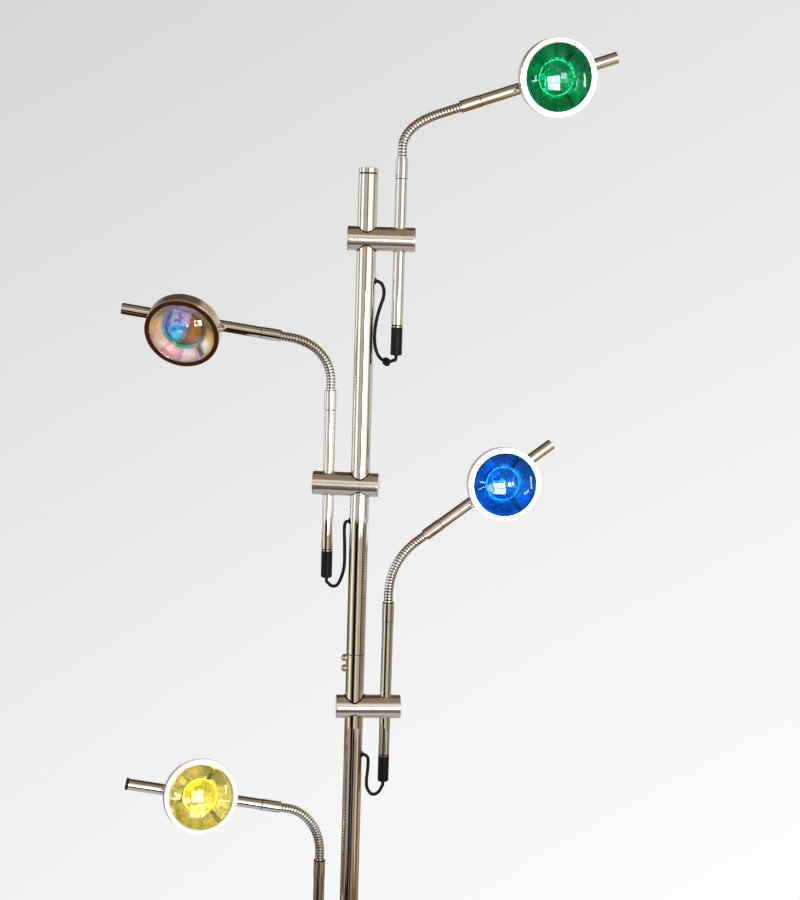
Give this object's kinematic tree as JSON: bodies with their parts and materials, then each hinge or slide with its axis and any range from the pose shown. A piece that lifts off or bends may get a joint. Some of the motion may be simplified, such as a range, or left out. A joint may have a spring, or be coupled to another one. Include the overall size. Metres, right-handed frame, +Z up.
{
  "type": "floor lamp with adjustable spot heads",
  "caption": "Floor lamp: weighted round base, jointed steel pole, cross-bored swivel clamps, sliding arm tubes, goosenecks and round spot heads with coloured domed lenses.",
  "frame": {"origin": "middle of the base's underside, on the pole's axis", "axes": "+Z up along the pole; the spot heads face -Y; the upper arm reaches towards +X"},
  "size_m": [0.6246, 0.3, 1.8645],
  "materials": {
    "base_iron": "plain cast disc under the cover",
    "satin_steel": "fine brushed, turned grain",
    "polished_steel": "mirror polished",
    "black_plastic": "moulded, satin black",
    "black_rubber": "smooth flexible cable sheath",
    "lamp_reflector": "bright spun reflector with a lamp can at its middle",
    "green_glass": "clear domed lens, deep green",
    "dichroic_glass": "clear domed lens with a rainbow coating",
    "blue_glass": "clear domed lens, deep blue",
    "yellow_glass": "clear domed lens, warm yellow"
  },
  "bodies": {
    "stand": {"base_weight": "base_iron", "base_cover": "satin_steel", "pole_lower": "polished_steel", "pole_upper": "polished_steel", "pole_joiner": "satin_steel", "pole_cap": "polished_steel"},
    "knob_upper": {"joint_knob_upper": "polished_steel"},
    "knob_lower": {"joint_knob_lower": "polished_steel"},
    "carrier_1": {"clamp_1": "satin_steel", "clamp_bush_1": "black_plastic", "lead_1": "black_rubber"},
    "foot_1": {"end_plug_1": "black_plastic"},
    "arm_1": {"arm_tube_1": "polished_steel", "lower_ferrule_1": "polished_steel", "gooseneck_1": "polished_steel"},
    "wrist_1": {"upper_ferrule_1": "polished_steel"},
    "spot_1": {"head_rod_1": "polished_steel", "head_housing_1": "satin_steel", "bezel_1": "polished_steel", "lens_1": "green_glass", "lamp_1": "lamp_reflector"},
    "carrier_2": {"clamp_2": "satin_steel", "clamp_bush_2": "black_plastic", "lead_2": "black_rubber"},
    "foot_2": {"end_plug_2": "black_plastic"},
    "arm_2": {"arm_tube_2": "polished_steel", "lower_ferrule_2": "polished_steel", "gooseneck_2": "polished_steel"},
    "wrist_2": {"upper_ferrule_2": "polished_steel"},
    "spot_2": {"head_rod_2": "polished_steel", "head_housing_2": "satin_steel", "bezel_2": "polished_steel", "lens_2": "dichroic_glass", "lamp_2": "lamp_reflector"},
    "carrier_3": {"clamp_3": "satin_steel", "clamp_bush_3": "black_plastic", "lead_3": "black_rubber"},
    "foot_3": {"end_plug_3": "black_plastic"},
    "arm_3": {"arm_tube_3": "polished_steel", "lower_ferrule_3": "polished_steel", "gooseneck_3": "polished_steel"},
    "wrist_3": {"upper_ferrule_3": "polished_steel"},
    "spot_3": {"head_rod_3": "polished_steel", "head_housing_3": "satin_steel", "bezel_3": "polished_steel", "lens_3": "blue_glass", "lamp_3": "lamp_reflector"},
    "carrier_4": {"clamp_4": "satin_steel", "clamp_bush_4": "black_plastic", "lead_4": "black_rubber"},
    "foot_4": {"end_plug_4": "black_plastic"},
    "arm_4": {"arm_tube_4": "polished_steel", "lower_ferrule_4": "polished_steel", "gooseneck_4": "polished_steel"},
    "wrist_4": {"upper_ferrule_4": "polished_steel"},
    "spot_4": {"head_rod_4": "polished_steel", "head_housing_4": "satin_steel", "bezel_4": "polished_steel", "lens_4": "yellow_glass", "lamp_4": "lamp_reflector"}
  },
  "joints": [
    {"name": "knob_upper_turn", "type": "hinge", "parent": "stand", "child": "knob_upper", "pos_m": [0, 0, 1.0603], "axis": [-1, 0, 0], "range_deg": [0, 360]},
    {"name": "knob_lower_turn", "type": "hinge", "parent": "stand", "child": "knob_lower", "pos_m": [0, 0, 1.0462], "axis": [-1, 0, 0], "range_deg": [0, 360]},
    {"name": "swivel_1", "type": "hinge", "parent": "stand", "child": "carrier_1", "pos_m": [0, 0, 1.6116], "axis": [0, 0, 1], "range_deg": [-40, 40], "deforming": ["lead_1"]},
    {"name": "height_1", "type": "slide", "parent": "carrier_1", "child": "foot_1", "axis": [0, 0, 1], "range_m": [0, 0.04]},
    {"name": "turn_1", "type": "hinge", "parent": "foot_1", "child": "arm_1", "pos_m": [0.0417, 0.00051, 1.6116], "axis": [0, 0, 1], "range_deg": [-90, 90]},
    {"name": "bend_1", "type": "hinge", "parent": "arm_1", "child": "wrist_1", "pos_m": [0.06916, 0.00262, 1.75303], "axis": [0.0767, -0.9971, 0], "range_deg": [-50, 25], "deforming": ["gooseneck_1"]},
    {"name": "roll_1", "type": "hinge", "parent": "wrist_1", "child": "spot_1", "pos_m": [0.13748, 0.00788, 1.78724], "axis": [0.941, 0.0724, 0.3305], "range_deg": [-80, 80]},
    {"name": "swivel_2", "type": "hinge", "parent": "stand", "child": "carrier_2", "pos_m": [0, 0, 1.2948], "axis": [0, 0, 1], "range_deg": [-40, 40], "deforming": ["lead_2"]},
    {"name": "height_2", "type": "slide", "parent": "carrier_2", "child": "foot_2", "axis": [0, 0, 1], "range_m": [0, 0.04]},
    {"name": "turn_2", "type": "hinge", "parent": "foot_2", "child": "arm_2", "pos_m": [-0.04155, 0.00349, 1.2948], "axis": [0, 0, 1], "range_deg": [-90, 90]},
    {"name": "bend_2", "type": "hinge", "parent": "arm_2", "child": "wrist_2", "pos_m": [-0.06469, 0.00369, 1.45965], "axis": [0.0087, 1, 0], "range_deg": [-50, 25], "deforming": ["gooseneck_2"]},
    {"name": "roll_2", "type": "hinge", "parent": "wrist_2", "child": "spot_2", "pos_m": [-0.13235, 0.00428, 1.48846], "axis": [-0.9902, 0.0086, 0.1392], "range_deg": [-80, 80]},
    {"name": "swivel_3", "type": "hinge", "parent": "stand", "child": "carrier_3", "pos_m": [0, 0, 0.9936], "axis": [0, 0, 1], "range_deg": [-40, 40], "deforming": ["lead_3"]},
    {"name": "height_3", "type": "slide", "parent": "carrier_3", "child": "foot_3", "axis": [0, 0, 1], "range_m": [0, 0.04]},
    {"name": "turn_3", "type": "hinge", "parent": "foot_3", "child": "arm_3", "pos_m": [0.04157, 0.00334, 0.9936], "axis": [0, 0, 1], "range_deg": [-90, 90]},
    {"name": "bend_3", "type": "hinge", "parent": "arm_3", "child": "wrist_3", "pos_m": [0.05685, 0.00598, 1.18639], "axis": [0.1702, -0.9854, 0], "range_deg": [-50, 25], "deforming": ["gooseneck_3"]},
    {"name": "roll_3", "type": "hinge", "parent": "wrist_3", "child": "spot_3", "pos_m": [0.10781, 0.01479, 1.24293], "axis": [0.7931, 0.137, 0.5934], "range_deg": [-80, 80]},
    {"name": "swivel_4", "type": "hinge", "parent": "stand", "child": "carrier_4", "pos_m": [0, 0, 0.69], "axis": [0, 0, 1], "range_deg": [-40, 40], "deforming": ["lead_4"]},
    {"name": "height_4", "type": "slide", "parent": "carrier_4", "child": "foot_4", "axis": [0, 0, 1], "range_m": [0, 0.04]},
    {"name": "turn_4", "type": "hinge", "parent": "foot_4", "child": "arm_4", "pos_m": [-0.0417, 0.00051, 0.69], "axis": [0, 0, 1], "range_deg": [-90, 90]},
    {"name": "bend_4", "type": "hinge", "parent": "arm_4", "child": "wrist_4", "pos_m": [-0.0595, -0.00308, 0.82003], "axis": [-0.1977, 0.9803, 0], "range_deg": [-50, 25], "deforming": ["gooseneck_4"]},
    {"name": "roll_4", "type": "hinge", "parent": "wrist_4", "child": "spot_4", "pos_m": [-0.12047, -0.01537, 0.85767], "axis": [-0.9585, -0.1933, 0.2096], "range_deg": [-80, 80]}
  ]
}
